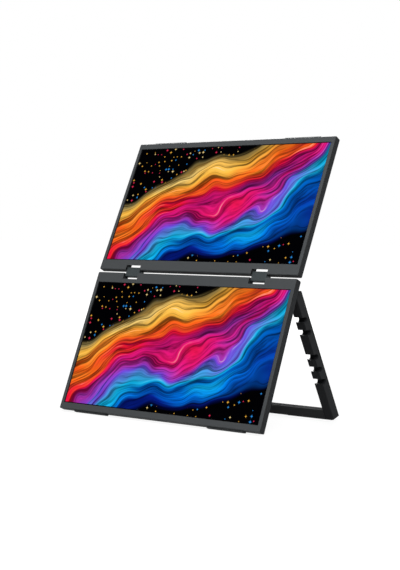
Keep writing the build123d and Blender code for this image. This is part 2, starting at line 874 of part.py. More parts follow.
def make_cross_bar():
    """Cross bar between the feet of the arms, with a tongue into each of them."""
    with BuildPart() as bar:
        with BuildSketch(stand_plane(-arm_inner)) as profile:
            Polygon(
                (cross_bar_top, -half_depth),
                (arm_length, -half_depth),
                (foot_end_at(cross_bar_rear), cross_bar_rear),
                (cross_bar_top, cross_bar_rear),
                align=None,
            )
        extrude(profile.sketch, amount=2 * arm_inner)
        with BuildSketch(stand_plane(-arm_inner - tongue_length)) as tongue:
            with Locations(tongue_centre):
                Rectangle(*tongue_size)
        extrude(tongue.sketch, amount=2 * (arm_inner + tongue_length))
        for way in (-1, 1):
            with BuildSketch(arm_screw_plane(way, cross_bar_rear)) as pilot:
                Circle(stand_screw_radius + screw_clearance / 2)
            extrude(pilot.sketch, amount=-cross_bar_depth, mode=Mode.SUBTRACT)
    return bar


def make_arm_screws():
    """Screws from the rear of each arm into the cross bar's tongue."""
    head_top = half_depth - screw_clearance
    neck = head_top - stand_head_height
    with BuildPart() as screws:
        for way in (-1, 1):
            with BuildSketch(arm_screw_plane(way, neck)) as head:
                Circle(stand_head_radius)
            extrude(head.sketch, amount=stand_head_height)
            with BuildSketch(arm_screw_plane(way, neck)) as shank:
                Circle(stand_screw_radius)
            extrude(shank.sketch, amount=tongue_front + screw_end_gap - neck)
            with BuildSketch(arm_screw_plane(way, head_top)) as drive:
                RegularPolygon(stand_screw_radius, 6)
            extrude(drive.sketch, amount=-stand_drive_depth, mode=Mode.SUBTRACT)
    return screws


def make_foot_pads():
    """Rubber wedges under the feet of the stand, flat on the floor at rest."""
    front = -toe_offset
    rear = front + stand_pad_width
    heel = toe_reach + stand_pad_width * tan(radians(arm_lean))
    with BuildPart() as pads:
        for way in (-1, 1):
            with BuildSketch(stand_plane(way * stand_pad_start)) as profile:
                Polygon(
                    (foot_end_at(front), front),
                    (toe_reach, front),
                    (heel, rear),
                    (foot_end_at(rear), rear),
                    align=None,
                )
            extrude(profile.sketch, amount=way * stand_pad_length)
    return pads


def make_stand_bracket(way):
    """Bracket on the back of the lower panel with the ear for one arm's pin."""
    outer = arm_inner - stand_bracket_gap
    base_rear = panel_thickness + stand_bracket_base
    with BuildPart() as bracket:
        centre = (way * (outer - stand_bracket_width / 2), pivot_inset)
        size = (stand_bracket_width, stand_bracket_length)
        prism(lower_frame, centre, size, (panel_thickness, base_rear))
        depth_axis = Axis(lower_frame.origin, lower_frame.z_dir)
        fillet(bracket.edges().filter_by(depth_axis), stand_bracket_corner)
        with BuildSketch(across(lower_frame, way * outer)) as ear:
            with Locations((pivot_inset, -pivot_depth)):
                Circle(stand_bracket_radius)
            Polygon(
                (pivot_inset - stand_bracket_radius, -pivot_depth),
                (pivot_inset - stand_bracket_foot, -panel_thickness),
                (pivot_inset + stand_bracket_foot, -panel_thickness),
                (pivot_inset + stand_bracket_radius, -pivot_depth),
                align=None,
            )
            with Locations((pivot_inset, -pivot_depth)):
                Circle(stand_pin_radius + stand_bracket_fit, mode=Mode.SUBTRACT)
        extrude(ear.sketch, amount=-way * stand_bracket_ear)
        places = [place for place in stand_screw_places() if place[0] * way > 0]
        hole = stand_screw_radius + screw_clearance
        round_post(lower_frame, places, hole, (panel_thickness, base_rear), Mode.SUBTRACT)
    return bracket


def make_stand_pin(way):
    """Pin from a bracket's ear into the arm beside it."""
    inner = arm_inner - stand_bracket_gap - stand_bracket_ear
    with BuildPart() as pin:
        with BuildSketch(stand_plane(way * inner)) as shank:
            Circle(stand_pin_radius)
        extrude(shank.sketch, amount=way * (arm_inner + stand_pin_reach - inner))
        with BuildSketch(stand_plane(way * inner)) as head:
            Circle(stand_pin_head_radius)
        extrude(head.sketch, amount=-way * stand_pin_head_height)
    return pin


def make_bracket_screws():
    """Screws that hold the stand brackets to the lower panel's rear cover."""
    places = stand_screw_places()
    seat = panel_thickness + stand_bracket_base
    with BuildPart() as screws:
        round_post(lower_frame, places, stand_head_radius, (seat, seat + stand_head_height))
        end = stand_boss_top + stand_boss_skin + screw_end_gap
        round_post(lower_frame, places, stand_screw_radius, (end, seat))
        cross_recess(lower_frame, places, seat + stand_head_height, -1)
    return screws


pieces = {}

# The two panels hold the same pieces, and only the lower one carries the stand
for name, frame, side, notch_depth, stand_places in (
    ("upper", upper_frame, -1, upper_notch_depth, ()),
    ("lower", lower_frame, 1, lower_notch_depth, stand_screw_places()),
):
    pieces[f"{name}_front_bezel"] = make_bezel(frame, notch_depth)
    pieces[f"{name}_rear_cover"] = make_cover(frame, side, notch_depth, stand_places)
    pieces[f"{name}_display_cell"] = make_cell(frame)
    pieces[f"{name}_backlight_unit"] = make_backlight(frame)
    pieces[f"{name}_driver_board"] = make_board(frame, side)
    pieces[f"{name}_display_ribbon"] = make_ribbon(frame, side)
    pieces[f"{name}_usb_c_ports"] = make_sockets(frame, side, usb_places, usb_size, usb_length)
    pieces[f"{name}_mini_hdmi_port"] = make_sockets(
        frame, side, (hdmi_place,), hdmi_size, hdmi_length
    )
    pieces[f"{name}_button_switches"] = make_switches(frame, side)
    for button, place in button_places.items():
        pieces[f"{name}_{button}_button"] = make_button(frame, side, place)
    pieces[f"{name}_edge_pads"] = make_pads(frame)
    pieces[f"{name}_cover_screws"] = make_cover_screws(frame)
    pieces[f"{name}_board_screws"] = make_small_screws(
        frame, board_screw_places(side), board_top
    )
    for hand, x in (("left", side * hinge_offset), ("right", -side * hinge_offset)):
        pieces[f"{name}_{hand}_hinge_bracket"] = make_hinge_bracket(frame, x)
    screw_places = bracket_screw_places(-hinge_offset) + bracket_screw_places(hinge_offset)
    pieces[f"{name}_hinge_bracket_screws"] = make_small_screws(frame, screw_places, bracket_top)

# The hinge blocks join them
for hand, x in (("left", -hinge_offset), ("right", hinge_offset)):
    pieces[f"{hand}_hinge_block"] = make_hinge_block(x)
    pieces[f"{hand}_lower_hinge_pin"] = make_pin(x, 0)
    pieces[f"{hand}_upper_hinge_pin"] = make_pin(x, axis_distance)
pieces["hinge_washers"] = make_washers()
pieces["hinge_nuts"] = make_nuts()

# The kickstand turns on two brackets. The lower panel's x runs to the left, and the
# stand's to the right.
for hand, way in (("left", -1), ("right", 1)):
    pieces[f"{hand}_stand_arm"] = make_arm(way)
    pieces[f"{hand}_stand_bracket"] = make_stand_bracket(-way)
    pieces[f"{hand}_stand_pin"] = make_stand_pin(way)
pieces["stand_cross_bar"] = make_cross_bar()
pieces["stand_arm_screws"] = make_arm_screws()
pieces["stand_foot_pads"] = make_foot_pads()
pieces["stand_bracket_screws"] = make_bracket_screws()

os.makedirs("parts", exist_ok=True)
for name, piece in pieces.items():
    piece.part.label = name
    export_step(piece.part, f"parts/{name}.step")
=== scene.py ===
import json
import math
from collections import namedtuple

import bmesh
import bpy
from mathutils import Matrix, Vector


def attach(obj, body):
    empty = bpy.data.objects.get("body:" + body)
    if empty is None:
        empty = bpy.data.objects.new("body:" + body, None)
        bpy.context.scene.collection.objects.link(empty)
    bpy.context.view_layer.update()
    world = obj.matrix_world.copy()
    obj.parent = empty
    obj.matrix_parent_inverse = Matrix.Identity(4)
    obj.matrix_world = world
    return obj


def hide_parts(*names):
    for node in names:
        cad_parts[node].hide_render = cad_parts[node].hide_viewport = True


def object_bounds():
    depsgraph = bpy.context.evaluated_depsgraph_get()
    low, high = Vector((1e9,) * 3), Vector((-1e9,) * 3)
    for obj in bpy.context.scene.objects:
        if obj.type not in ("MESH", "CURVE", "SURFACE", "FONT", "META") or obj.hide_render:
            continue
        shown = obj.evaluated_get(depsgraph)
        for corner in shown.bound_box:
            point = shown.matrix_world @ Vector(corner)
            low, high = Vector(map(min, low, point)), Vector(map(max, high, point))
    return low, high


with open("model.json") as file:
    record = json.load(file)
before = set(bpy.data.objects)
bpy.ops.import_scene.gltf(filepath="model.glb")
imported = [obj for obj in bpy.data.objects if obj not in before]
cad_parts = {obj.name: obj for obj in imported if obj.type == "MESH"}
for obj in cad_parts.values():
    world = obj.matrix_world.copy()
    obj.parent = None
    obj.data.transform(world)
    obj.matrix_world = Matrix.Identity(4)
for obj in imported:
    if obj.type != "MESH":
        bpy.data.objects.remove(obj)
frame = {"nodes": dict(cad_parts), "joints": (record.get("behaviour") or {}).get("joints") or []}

# The looks of a dual portable monitor, around its construction. Metres, Z up, screens
# face -Y. Every place on the object is worked out from the frame's own nodes; the camera and lamps
# have given places.

mm = 0.001
cad_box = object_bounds()
nodes = frame["nodes"]
scene = bpy.context.scene
sides = ("upper", "lower")

# Camera, in front of the object's right side and about as high as the lower panel
image_width = 400
focal_pixels = 1260.961
sensor_width = 36.0
camera_yaw = math.radians(37.023)
camera_pitch = math.radians(2.258)
camera_roll = math.radians(0.665)
camera_place = Vector((1.0929, -1.446527, 0.259406))
camera_clip = (0.05, 100.0)

# Panels: finding the flat front and the window
front_facing = 0.8
front_tolerance = 0.01 * mm
window_search = (3 * mm, 12 * mm)

# Panels: colours, the painted shade darkening the rear rim of the covers and the painted shade
# darkening the sideways faces of the bezels
bezel_colour = (75, 78, 80)
cover_colour = (42, 44, 46)
chamfer_width = 0.8 * mm
rim_depths = (9.3 * mm, 10.3 * mm)
rim_borders = (1.2 * mm, 2.4 * mm)
rim_painted_shade = 0.25
sideways_turn = (0.3, 0.7)
sideways_painted_shade = 0.1

# Hinge blocks: how much shorter than the solid below, their rounded edges, and which
# faces are their ends
block_lift = 1.4 * mm
block_front_radius = 1.2 * mm
block_rear_radius = 6.8 * mm
block_edge = 0.35 * mm
arc_steps = 10
crease_angle = math.radians(32.0)
end_facing = 0.9

# Screens: black border inside the window, and the glass
black_border = {"left": 0.5 * mm, "right": 1.5 * mm, "bottom": 1.8 * mm, "top": 0.5 * mm}
glass_bevel = 0.25 * mm
glass_colour = (2, 2, 3)
glass_grain = 900.0
glass_roughness = (0.2, 0.26)

# Dark gasket between the display and the window of the bezel
gasket_width = 0.6 * mm
gasket_height = 1.5 * mm
gasket_steps = 5

# Surface patterns: cells per metre, the height of what they raise, and the range that
# most values of a noise lie in
noise_range = (0.3, 0.7)
plastic_grain = 2600.0
plastic_clouds = 38.0
plastic_grain_height = 0.06 * mm
plastic_tone_range = (0.3, 1.2)
plastic_tones = (0.9, 1.08)
plastic_gloss_range = (0.6, 1.4)
plastic_unevenness = 0.08
rubber_grain = 1800.0
rubber_grain_height = 0.08 * mm
rubber_roughness = (0.72, 0.9)
dust_cells = 160.0
dust_range = (0.52, 0.8)
dust_cover = 0.2
dust_colour = (88, 87, 85)
rolling_lines = (60.0, 1500.0, 1500.0)
rolling_height = 0.04 * mm
stain_cells = 90.0
stain_range = (0.35, 0.7)
stain_shade = 0.8
mottle_cells = 300.0
mottle_height = 0.05 * mm
mottle_cover = 0.35
mottle_shade = 0.6

# Picture: slanted folds of light, in screen heights
picture_turn = math.radians(28.0)
picture_dark = (0, 0, 1)
swell_scale = 1.5
swell_bend = 0.62
wave_count = 4.2
wave_height = 0.1
band_low_edge = (-0.46, -0.34)
band_high_edge = (0.44, 0.3)
colour_edges = (-0.42, 0.42)
fold_bend = 0.7

# Picture: how far folds and strands stretch, along and across, and by a noise's range the
# light they give
fold_scales = (1.1, 6.0)
fold_range = (0.26, 0.52)
fold_light = (0.3, 1.0)
strand_scales = (1.5, 30.0)
strand_range = (0.36, 0.6)
strand_light = (0.18, 1.1)

# Picture: bright crests, by the height and by the strength of strands and folds
crest_colour = (255, 244, 225)
crest_start = (-0.34, -0.2)
crest_strands = (0.6, 0.72)
crest_folds = (0.4, 0.6)
crest_strength = 0.55
fold_colours = (
    (0.00, (8, 40, 170)),
    (0.12, (0, 120, 235)),
    (0.24, (20, 190, 240)),
    (0.34, (110, 70, 215)),
    (0.46, (225, 25, 130)),
    (0.58, (235, 20, 50)),
    (0.70, (255, 105, 25)),
    (0.84, (255, 190, 70)),
    (1.00, (255, 225, 140)),
)

# Picture: sparks beside the folds, sparser further away from them
spark_cells = 24.0
spark_scatter = 0.95
spark_point = 0.6
spark_reach = (0.15, 0.55)
spark_core = 0.04
spark_band = (0.12, 0.0)
spark_distances = (1.0, 0.4)
spark_chances = (0.74, 0.4)
spark_colours = (
    (0.0, (255, 190, 70)),
    (0.4, (50, 150, 235)),
    (0.65, (235, 50, 90)),
    (0.85, (255, 225, 150)),
)

# Floor and light
floor_size = 60.0
floor_sink = 0.02 * mm
floor_colour = (0.16, 0.16, 0.16, 1.0)
floor_glow = 0.88
white_radius = (0.5, 1.6)
sky_towards = Vector((0.45, -0.66, 0.6))
sky_turn = (-0.3, 1.0)
sky_light = (0.05, 0.56)

# Lamps: place, diameter and power in watts
lamps = {
    "key": (Vector((0.8, -0.85, 1.05)), 0.7, 9.0),
    "top": (Vector((-0.2, 0.4, 2.8)), 1.8, 26.0),
    "rear": (Vector((-1.5, 2.2, 1.3)), 1.4, 55.0),
}
lamp_target = Vector((0.0, 0.0, 0.2))

black = (0.0, 0.0, 0.0, 1.0)
white = (1.0, 1.0, 1.0, 1.0)


def srgb(red, green, blue):
    """Linear colour from 0 to 255 display values."""

    def linear(value):
        value /= 255
        return value / 12.92 if value <= 0.04045 else ((value + 0.055) / 1.055) ** 2.4

    return (linear(red), linear(green), linear(blue), 1.0)


def darker(colour, share):
    return tuple(share * part for part in colour[:3]) + (1.0,)


class Nodes:
    """Short forms for building the node tree of a material or of the world."""

    def __init__(self, owner, kind="Material"):
        owner.use_nodes = True
        self.owner = owner
        self.tree = owner.node_tree
        self.tree.nodes.clear()
        self.output = self.tree.nodes.new("ShaderNodeOutput" + kind)

    def put(self, socket, value):
        if isinstance(value, bpy.types.NodeSocket):
            self.tree.links.new(value, socket)
        else:
            socket.default_value = value

    def add(self, kind, inputs=None, **settings):
        node = self.tree.nodes.new("ShaderNode" + kind)
        for name, value in settings.items():
            setattr(node, name, value)
        for name, value in (inputs or {}).items():
            self.put(node.inputs[name], value)
        return node

    def math(self, operation, a, b=0.0):
        return self.add("Math", {0: a, 1: b}, operation=operation).outputs[0]

    def plus(self, a, b):
        return self.math("ADD", a, b)

    def minus(self, a, b):
        return self.math("SUBTRACT", a, b)

    def times(self, a, b):
        return self.math("MULTIPLY", a, b)

    def least(self, a, b):
        return self.math("MINIMUM", a, b)

    def most(self, a, b):
        return self.math("MAXIMUM", a, b)

    def size(self, a):
        return self.math("ABSOLUTE", a)

    def between(self, value, low, high):
        """1 where a value lies between two limits, 0 elsewhere."""
        return self.times(
            self.math("GREATER_THAN", value, low), self.math("LESS_THAN", value, high)
        )

    def scaled(self, value, low, high, start=0.0, end=1.0, easing="LINEAR"):
        """Value that goes from start to end as another goes from low to high."""
        node = self.add(
            "MapRange",
            {"Value": value, "From Min": low, "From Max": high, "To Min": start, "To Max": end},
            interpolation_type=easing,
        )
        return node.outputs[0]

    def smooth(self, value, low, high, start=0.0, end=1.0):
        """The same, eased at both ends."""
        return self.scaled(value, low, high, start, end, "SMOOTHSTEP")

    def point(self, x, y, z=0.0):
        return self.add("CombineXYZ", {0: x, 1: y, 2: z}).outputs[0]

    def grey(self, value):
        return self.point(value, value, value)

    def parts(self, vector):
        return self.add("SeparateXYZ", {0: vector}).outputs

    def place(self):
        """Place on the piece at rest, which stays with the piece as it moves."""
        return self.add("TexCoord").outputs["Object"]

    def reach(self, vector, axis):
        """How far a place reaches along an axis."""
        node = self.add("VectorMath", {0: vector, 1: tuple(axis)}, operation="DOT_PRODUCT")
        return node.outputs["Value"]

    def facing(self, axis):
        """How much the surface faces along an axis of the piece, either way."""
        return self.size(self.reach(self.add("TexCoord").outputs["Normal"], axis))

    def seen(self):
        """1 for what the camera sees, directly, mirrored or through glass, and 0 for light."""
        path = self.add("LightPath").outputs
        seen = self.most(path["Is Camera Ray"], path["Is Glossy Ray"])
        return self.most(seen, path["Is Transmission Ray"])

    def noise(self, vector, scale, detail=2.0, roughness=0.5, distortion=0.0):
        node = self.add(
            "TexNoise",
            {
                "Vector": vector,
                "Scale": scale,
                "Detail": detail,
                "Roughness": roughness,
                "Distortion": distortion,
            },
        )
        return node.outputs["Fac"]

    def mix(self, share, a, b, blend="MIX"):
        """Mix of two colours, whose sockets are the node's seventh and eighth."""
        node = self.add("Mix", data_type="RGBA", blend_type=blend)
        self.put(node.inputs[0], share)
        self.put(node.inputs[6], a)
        self.put(node.inputs[7], b)
        return node.outputs[2]

    def ramp(self, share, stops, interpolation="LINEAR"):
        """Colour by a share, from stops of a place and a display colour."""
        node = self.add("ValToRGB", {"Fac": share})
        node.color_ramp.interpolation = interpolation
        elements = node.color_ramp.elements
        while len(elements) < len(stops):
            elements.new(0.5)
        for element, (place, colour) in zip(elements, stops):
            element.position = place
            element.color = srgb(*colour)
        return node.outputs["Color"]

    def bump(self, height, strength, distance):
        node = self.add("Bump", {"Height": height, "Strength": strength, "Distance": distance})
        return node.outputs["Normal"]

    def show(self, shader):
        self.tree.links.new(shader.outputs[0], self.output.inputs[0])
        return self.owner

    def finish(self, **inputs):
        """Surface by the principled shader, with an input's spaces written as underscores."""
        named = {name.replace("_", " "): value for name, value in inputs.items()}
        return self.show(self.add("BsdfPrincipled", named))


def new_material(name):
    return Nodes(bpy.data.materials.new(name))


Face = namedtuple("Face", "centre right up normal size")


def front_face(name):
    """A panel piece's flat front face: its centre, right, up and outward ways, and size."""
    mesh = nodes[name].data
    faces = [face for face in mesh.polygons if face.normal.y < -front_facing]
    normal = max(faces, key=lambda face: face.area).normal.copy()
    right = Vector((1, 0, 0))
    up = normal.cross(right)
    if up.z < 0:
        up.negate()
    reach = max(vertex.co.dot(normal) for vertex in mesh.vertices)
    points = [v.co for v in mesh.vertices if v.co.dot(normal) > reach - front_tolerance]
    xs = [point.dot(right) for point in points]
    ys = [point.dot(up) for point in points]
    size = (max(xs) - min(xs), max(ys) - min(ys))
    centre = right * ((max(xs) + min(xs)) / 2) + up * ((max(ys) + min(ys)) / 2) + normal * reach
    return Face(centre, right, up, normal, size)


def window_of(side):
    """The bezel's opening: its centre on the front face, and its size."""
    name = f"{side}_front_bezel"
    front = front_face(name)
    least, most = window_search
    inside = []
    for vertex in nodes[name].data.vertices:
        offset = vertex.co - front.centre
        x = abs(offset.dot(front.right))
        y = offset.dot(front.up)
        in_side_border = front.size[0] / 2 - most < x < front.size[0] / 2 - least
        in_height = abs(y) < front.size[1] / 2 - least
        if in_side_border and in_height and offset.dot(front.normal) > -front_tolerance:
            inside.append((x, y))
    width = 2 * max(x for x, _ in inside)
    ys = [y for _, y in inside]
    return front.centre + front.up * ((max(ys) + min(ys)) / 2), (width, max(ys) - min(ys))


def panel_bands(n, side):
    """Distance in from a panel's outline, and depth behind its front face."""
    front = front_face(f"{side}_front_bezel")
    place = n.place()
    insets = []
    for axis, length in ((front.right, front.size[0]), (front.up, front.size[1])):
        away = n.size(n.minus(n.reach(place, axis), front.centre.dot(axis)))
        insets.append(n.minus(length / 2 + chamfer_width, away))
    depth = n.minus(front.centre.dot(front.normal), n.reach(place, front.normal))
    return n.least(*insets), depth


def grained_plastic(n, colour, grain, roughness, gloss, shade=1.0):
    """Moulded plastic with a fine spark-eroded grain, slight unevenness of gloss, and the painted
    shade it is given.
    """
    place = n.place()
    fine = n.noise(place, plastic_grain, detail=3.0, roughness=0.6)
    cloudy = n.noise(place, plastic_clouds, detail=3.0, roughness=0.55)
    tone = n.plus(n.times(fine, 0.5), cloudy)
    tone = n.scaled(tone, *plastic_tone_range, *plastic_tones)
    dullness = (roughness - plastic_unevenness, roughness + plastic_unevenness)
    return n.finish(
        Base_Color=n.mix(1.0, colour, n.grey(n.times(tone, shade)), "MULTIPLY"),
        Roughness=n.scaled(n.plus(fine, cloudy), *plastic_gloss_range, *dullness),
        Specular_IOR_Level=gloss,
        Normal=n.bump(fine, grain, plastic_grain_height),
    )


def moulded_plastic(name, colour, grain, roughness, gloss):
    return grained_plastic(new_material(name), colour, grain, roughness, gloss)


def bezel_plastic(side):
    """Satin front frame with painted shade, nearly black, where it faces sideways: its flanks and
    inner walls.
    """
    n = new_material(f"{side}_bezel_plastic")
    # Painted shade: faces turned sideways are darkened to nearly black
    shade = n.smooth(n.facing((1, 0, 0)), *sideways_turn, 1.0, sideways_painted_shade)
    colour = srgb(*bezel_colour)
    return grained_plastic(n, colour, grain=0.35, roughness=0.55, gloss=0.2, shade=shade)


def cover_plastic(side):
    """Matt rear cover, with painted shade darkening its rear rim."""
    n = new_material(f"{side}_cover_plastic")
    border, depth = panel_bands(n, side)
    # Painted shade: the rear rim is darkened near the outline, deep behind the front
    rim = n.smooth(depth, *rim_depths, 1.0, rim_painted_shade)
    shade = n.most(rim, n.smooth(border, *rim_borders, 0.0, 1.0))
    colour = srgb(*cover_colour)
    return grained_plastic(n, colour, grain=0.45, roughness=0.62, gloss=0.1, shade=shade)


def rubber(name, colour):
    """Soft rubber with a dull, dusty surface."""
    n = new_material(name)
    place = n.place()
    fine = n.noise(place, rubber_grain, detail=4.0, roughness=0.7)
    dust = n.smooth(n.noise(place, dust_cells, detail=4.0, roughness=0.6), *dust_range)
    return n.finish(
        Base_Color=n.mix(n.times(dust, dust_cover), colour, srgb(*dust_colour)),
        Roughness=n.scaled(fine, *noise_range, *rubber_roughness),
        Specular_IOR_Level=0.12,
        Normal=n.bump(fine, 0.35, rubber_grain_height),
    )


def rolled_steel(name, colour, roughness):
    """Steel sheet with faint rolling lines."""
    n = new_material(name)
    place = n.place()
    along = n.point(*(n.times(part, scale) for part, scale in zip(n.parts(place), rolling_lines)))
    rolling = n.noise(along, 1.0, detail=3.0, roughness=0.6)
    stain = n.noise(place, stain_cells, detail=3.0)
    return n.finish(
        Base_Color=n.mix(n.scaled(stain, *stain_range), colour, darker(colour, stain_shade)),
        Metallic=1.0,
        Roughness=n.scaled(rolling, *noise_range, roughness - 0.08, roughness + 0.1),
        Normal=n.bump(rolling, 0.1, rolling_height),
    )


def coloured_sheet(name, colour, roughness):
    """Thin plastic film or board with faint mottling."""
    n = new_material(name)
    mottle = n.noise(n.place(), mottle_cells, detail=4.0, roughness=0.6)
    cover = n.scaled(mottle, *noise_range, 0.0, mottle_cover)
    return n.finish(
        Base_Color=n.mix(cover, colour, darker(colour, mottle_shade)),
        Roughness=roughness,
        Normal=n.bump(mottle, 0.1, mottle_height),
    )


def slanted_place(n, uv):
    """Place along the folds and height across them, bent by a slow swell and a wave."""
    x, y, _ = n.parts(uv)
    swell = n.noise(uv, swell_scale)
    along = n.plus(n.times(x, math.cos(picture_turn)), n.times(y, math.sin(picture_turn)))
    height = n.minus(n.times(y, math.cos(picture_turn)), n.times(x, math.sin(picture_turn)))
    height = n.plus(height, n.times(n.minus(swell, 0.5), swell_bend))
    height = n.plus(height, n.times(n.math("SINE", n.times(along, wave_count)), wave_height))
    return along, height


def folds_of_light(n, along, height):
    """Broad coloured folds with fine strands and bright crests."""

    def stretched(scales):
        return n.point(n.times(along, scales[0]), n.times(height, scales[1]))

    folds = n.noise(stretched(fold_scales), 1.0, distortion=0.4)
    strands = n.noise(stretched(strand_scales), 1.0, detail=5.0, roughness=0.65, distortion=0.8)
    share = n.plus(n.scaled(height, *colour_edges), n.times(n.minus(folds, 0.5), fold_bend))
    strands_lit = n.smooth(strands, *strand_range, *strand_light)
    light = n.times(strands_lit, n.smooth(folds, *fold_range, *fold_light))
    lit = n.mix(1.0, n.ramp(share, fold_colours), n.grey(light), "MULTIPLY")
    crest = n.times(n.smooth(strands, *crest_strands), n.smooth(folds, *crest_folds))
    crest = n.times(crest, n.smooth(height, *crest_start))
    return n.mix(n.times(crest, crest_strength), lit, srgb(*crest_colour))


def sparks(n, uv, height):
    """Four-pointed sparks: where they show, and their colours."""
    cells = n.add(
        "TexVoronoi",
        {"Vector": uv, "Scale": spark_cells, "Randomness": spark_scatter},
        distance="MINKOWSKI",
        voronoi_dimensions="2D",
    )
    n.put(cells.inputs["Exponent"], spark_point)
    chance, tint, size = n.add("SeparateColor", {0: cells.outputs["Color"]}).outputs
    reach = n.scaled(size, 0.0, 1.0, *spark_reach)
    spark = n.smooth(cells.outputs["Distance"], reach, spark_core)
    least_chance = n.smooth(n.size(height), *spark_distances, *spark_chances)
    spark = n.times(spark, n.math("GREATER_THAN", chance, least_chance))
    return spark, n.ramp(tint, spark_colours, "CONSTANT")


def picture(name):
    """A lit screen showing folds of coloured light with small sparks."""
    n = new_material(name)
    uv = n.add("UVMap", uv_map="picture").outputs[0]
    along, height = slanted_place(n, uv)
    band = n.times(n.smooth(height, *band_low_edge), n.smooth(height, *band_high_edge))
    shown = n.mix(band, srgb(*picture_dark), folds_of_light(n, along, height))
    spark, colours = sparks(n, uv, height)
    shown = n.mix(n.times(spark, n.smooth(band, *spark_band)), shown, colours)

    # Black outside the lit area
    u, v, _ = n.parts(n.add("UVMap", uv_map="window").outputs[0])
    inside = n.times(n.between(u, 0.0, 1.0), n.between(v, 0.0, 1.0))
    grain = n.noise(uv, glass_grain, detail=1.0)
    return n.finish(
        Base_Color=srgb(*glass_colour),
        Roughness=n.scaled(grain, *noise_range, *glass_roughness),
        Specular_IOR_Level=0.0,
        Emission_Color=n.mix(inside, black, shown),
        Emission_Strength=1.0,
    )


def new_piece(name, work, material, body):
    """A piece from a mesh under construction, with its material, on its body."""
    mesh = bpy.data.meshes.new(name)
    work.to_mesh(mesh)
    work.free()
    piece = bpy.data.objects.new(name, mesh)
    scene.collection.objects.link(piece)
    mesh.materials.append(material)
    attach(piece, body)
    return piece


def lay_on(work, face, centre):
    """Lay a mesh made flat around the origin onto a face, with its middle at centre."""
    place = Matrix.Identity(4)
    for column, axis in enumerate((face.right, face.up, face.normal, centre)):
        place.col[column].xyz = axis
    bmesh.ops.transform(work, matrix=place, verts=work.verts)


def round_edges(work, edges, width):
    bmesh.ops.bevel(work, geom=edges, offset=width, segments=2, affect="EDGES", profile=0.5)


def make_screen(side, material):
    """The display's glass with its lit picture, in the place of the display cell."""
    node = f"{side}_display_cell"
    cell = front_face(node)
    rear = min(vertex.co.dot(cell.normal) for vertex in nodes[node].data.vertices)
    depth = cell.centre.dot(cell.normal) - rear
    work = bmesh.new()
    bmesh.ops.create_cube(work, size=1.0)
    for vertex in work.verts:
        x, y, z = vertex.co
        vertex.co = Vector((x * cell.size[0], y * cell.size[1], (z - 0.5) * depth))
    round_edges(work, work.edges[:], glass_bevel)

    # Picture places in screen heights, and window places from 0 to 1 over the lit area
    window_centre, window = window_of(side)
    lift = window_centre - cell.centre
    picture_uv = work.loops.layers.uv.new("picture")
    window_uv = work.loops.layers.uv.new("window")
    lit_size = (
        window[0] - black_border["left"] - black_border["right"],
        window[1] - black_border["bottom"] - black_border["top"],
    )
    for face in work.faces:
        for loop in face.loops:
            x = loop.vert.co.x - lift.dot(cell.right)
            y = loop.vert.co.y - lift.dot(cell.up)
            loop[picture_uv].uv = (x / window[1], y / window[1])
            loop[window_uv].uv = (
                (x + window[0] / 2 - black_border["left"]) / lit_size[0],
                (y + window[1] / 2 - black_border["bottom"]) / lit_size[1],
            )
    lay_on(work, cell, cell.centre)
    glass = new_piece(f"{side}_screen_glass", work, material, f"{side}_monitor")
    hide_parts(node)


def make_gasket(side, material):
    """Soft gasket round the display, a quarter round in section, inside the window."""
    front = front_face(f"{side}_front_bezel")
    cell = front_face(f"{side}_display_cell")
    centre, window = window_of(side)
    centre = centre - front.normal * (front.centre - cell.centre).dot(front.normal)
    section = [(0.0, 0.0)]
    for step in range(gasket_steps):
        angle = math.pi / 2 * step / (gasket_steps - 1)
        section.append((gasket_width * math.cos(angle), gasket_height * math.sin(angle)))
    work = bmesh.new()
    rings = []
    for x, y in ((-1, -1), (1, -1), (1, 1), (-1, 1)):
        ring = []
        for inset, rise in section:
            place = Vector((x * (window[0] / 2 - inset), y * (window[1] / 2 - inset), rise))
            ring.append(work.verts.new(place))
        rings.append(ring)
    for ring, following in zip(rings, rings[1:] + rings[:1]):
        for number in range(len(section)):
            after = (number + 1) % len(section)
            work.faces.new((ring[number], following[number], following[after], ring[after]))
    bmesh.ops.recalc_face_normals(work, faces=work.faces)
    lay_on(work, front, centre)
    gasket = new_piece(f"{side}_window_gasket", work, material, f"{side}_monitor")


def block_outline(low, high, rear, front):
    """Section of a hinge block as places forward and up, rounded deeply at the back."""
    corners = (
        (front - block_front_radius, high - block_front_radius, block_front_radius),
        (rear + block_rear_radius, high - block_rear_radius, block_rear_radius),
        (rear + block_rear_radius, low + block_rear_radius, block_rear_radius),
        (front - block_front_radius, low + block_front_radius, block_front_radius),
    )
    outline = []
    for quarter, (forward, rise, radius) in enumerate(corners):
        for step in range(arc_steps):
            angle = math.pi / 2 * (quarter + step / (arc_steps - 1))
            outline.append((forward + radius * math.cos(angle), rise + radius * math.sin(angle)))
    return outline


